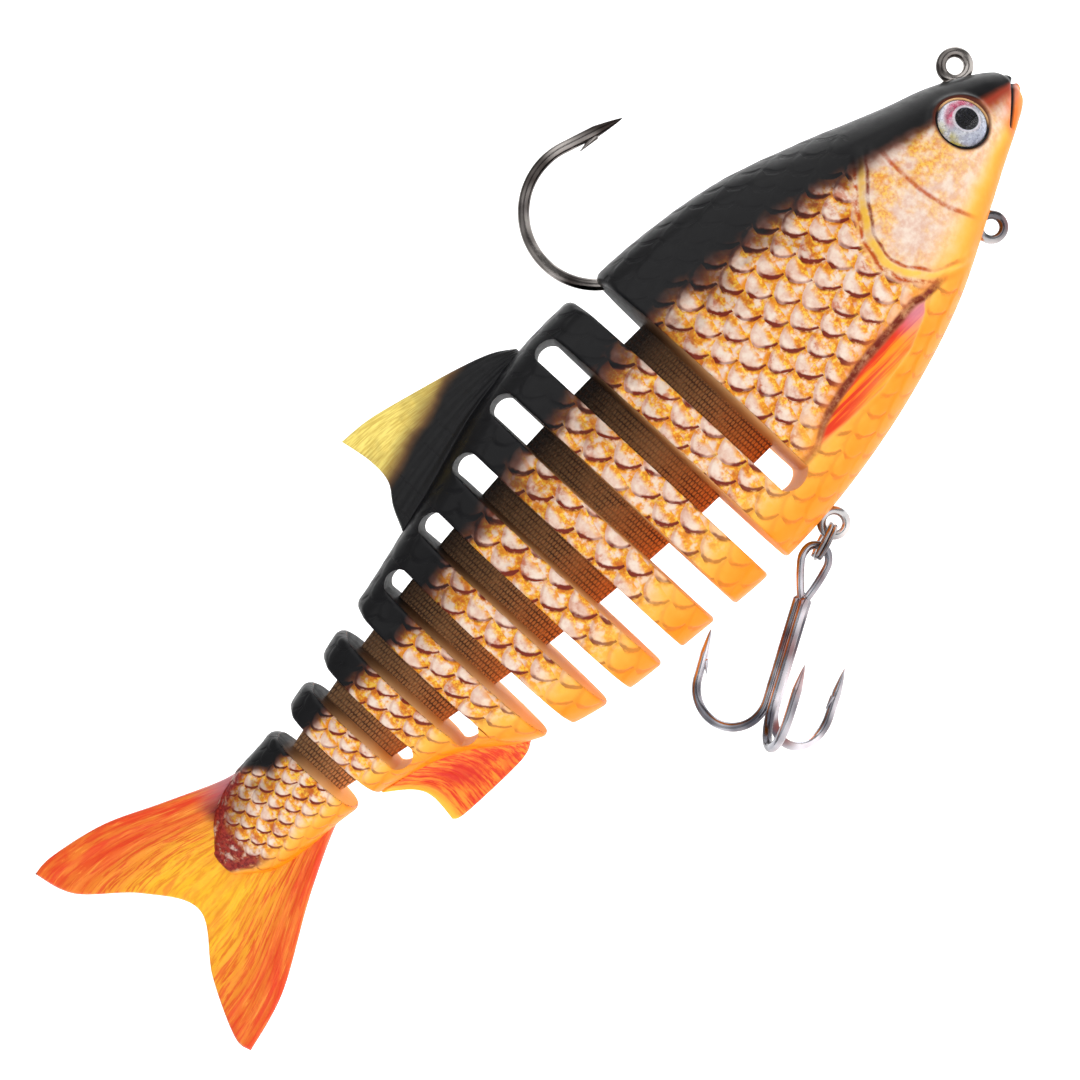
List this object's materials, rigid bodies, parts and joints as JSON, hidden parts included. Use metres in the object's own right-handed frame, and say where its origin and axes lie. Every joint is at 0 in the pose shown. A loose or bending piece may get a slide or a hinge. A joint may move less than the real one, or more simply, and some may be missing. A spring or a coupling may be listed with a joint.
{
  "type": "jointed swimbait",
  "caption": "Soft carp-shaped fishing lure cut into slices joined by a woven net, with a top hook, a belly treble on a split ring, a line tie and foil eyes.",
  "frame": {"origin": "centre of the line-tie ring on top of the snout", "axes": "+X towards the snout, +Y towards the fish's left side, +Z towards the back"},
  "size_m": [0.15, 0.0201, 0.0744],
  "materials": {
    "back_plastic": "soft plastic, near-black gloss",
    "flank_plastic": "soft plastic, printed scales under gloss",
    "fin_plastic": "soft translucent plastic, orange with red rays",
    "net": "woven polyester, brown",
    "foil": "holographic foil with a black pupil",
    "clear_dome": "clear resin",
    "hook_steel": "dark nickel plate",
    "ring_steel": "bright nickel plate",
    "lead": "dull cast lead"
  },
  "bodies": {
    "head": {"head_body": "back_plastic", "jig_hook": "hook_steel", "belly_harness": "ring_steel", "ballast": "lead", "iris_left": "foil", "iris_right": "foil", "lens_left": "clear_dome", "lens_right": "clear_dome", "belly_web_1": "fin_plastic", "net_1": "net"},
    "slice_1": {"section_1": "flank_plastic", "back_web_2": "back_plastic", "net_2": "net"},
    "slice_2": {"section_2": "flank_plastic", "back_web_3": "back_plastic", "net_3": "net"},
    "slice_3": {"section_3": "flank_plastic", "back_web_4": "back_plastic", "net_4": "net"},
    "slice_4": {"section_4": "flank_plastic", "back_web_5": "back_plastic", "net_5": "net"},
    "slice_5": {"section_5": "flank_plastic", "back_web_6": "back_plastic", "net_6": "net"},
    "slice_6": {"section_6": "flank_plastic", "belly_web_7": "fin_plastic", "net_7": "net"},
    "slice_7": {"section_7": "flank_plastic", "belly_web_8": "fin_plastic", "net_8": "net"},
    "slice_8": {"section_8": "flank_plastic", "net_9": "net"},
    "tail": {"tail_section": "flank_plastic", "tail_fin": "fin_plastic"},
    "ring": {"split_ring": "ring_steel"},
    "treble": {"treble_double": "hook_steel", "treble_single": "hook_steel"}
  },
  "joints": [
    {"name": "slot_1_bend", "type": "hinge", "parent": "head", "child": "slice_1", "pos_m": [-0.0498, 0, -0.0075], "axis": [-0.0436, 0, 0.999], "range_deg": [-17, 17], "stiffness_Nm_per_rad": 0.002, "deforming": ["belly_web_1", "net_1"]},
    {"name": "slot_2_bend", "type": "hinge", "parent": "slice_1", "child": "slice_2", "pos_m": [-0.0583, 0, -0.0075], "axis": [-0.0436, 0, 0.999], "range_deg": [-15, 15], "stiffness_Nm_per_rad": 0.002, "deforming": ["back_web_2", "net_2"]},
    {"name": "slot_3_bend", "type": "hinge", "parent": "slice_2", "child": "slice_3", "pos_m": [-0.0666, 0, -0.0075], "axis": [-0.0436, 0, 0.999], "range_deg": [-15, 15], "stiffness_Nm_per_rad": 0.002, "deforming": ["back_web_3", "net_3"]},
    {"name": "slot_4_bend", "type": "hinge", "parent": "slice_3", "child": "slice_4", "pos_m": [-0.0747, 0, -0.0075], "axis": [-0.0436, 0, 0.999], "range_deg": [-16, 16], "stiffness_Nm_per_rad": 0.002, "deforming": ["back_web_4", "net_4"]},
    {"name": "slot_5_bend", "type": "hinge", "parent": "slice_4", "child": "slice_5", "pos_m": [-0.0826, 0, -0.0075], "axis": [-0.0436, 0, 0.999], "range_deg": [-17, 17], "stiffness_Nm_per_rad": 0.002, "deforming": ["back_web_5", "net_5"]},
    {"name": "slot_6_bend", "type": "hinge", "parent": "slice_5", "child": "slice_6", "pos_m": [-0.0903, 0, -0.0075], "axis": [-0.0436, 0, 0.999], "range_deg": [-18, 18], "stiffness_Nm_per_rad": 0.002, "deforming": ["back_web_6", "net_6"]},
    {"name": "slot_7_bend", "type": "hinge", "parent": "slice_6", "child": "slice_7", "pos_m": [-0.0978, 0, -0.0075], "axis": [-0.0436, 0, 0.999], "range_deg": [-20, 20], "stiffness_Nm_per_rad": 0.002, "deforming": ["belly_web_7", "net_7"]},
    {"name": "slot_8_bend", "type": "hinge", "parent": "slice_7", "child": "slice_8", "pos_m": [-0.1051, 0, -0.0075], "axis": [-0.0436, 0, 0.999], "range_deg": [-22, 22], "stiffness_Nm_per_rad": 0.002, "deforming": ["belly_web_8", "net_8"]},
    {"name": "slot_9_bend", "type": "hinge", "parent": "slice_8", "child": "tail", "pos_m": [-0.1122, 0, -0.0075], "axis": [-0.0436, 0, 0.999], "range_deg": [-25, 25], "stiffness_Nm_per_rad": 0.0005, "deforming": ["net_9"]},
    {"name": "ring_swing", "type": "hinge", "parent": "head", "child": "ring", "pos_m": [-0.04912, 0, -0.02886], "axis": [-0.309, 0, 0.9511], "range_deg": [-25, 25]},
    {"name": "treble_swing", "type": "hinge", "parent": "ring", "child": "treble", "pos_m": [-0.0535, 0, -0.03028], "axis": [0, 1, 0], "range_deg": [-110, 0]}
  ]
}
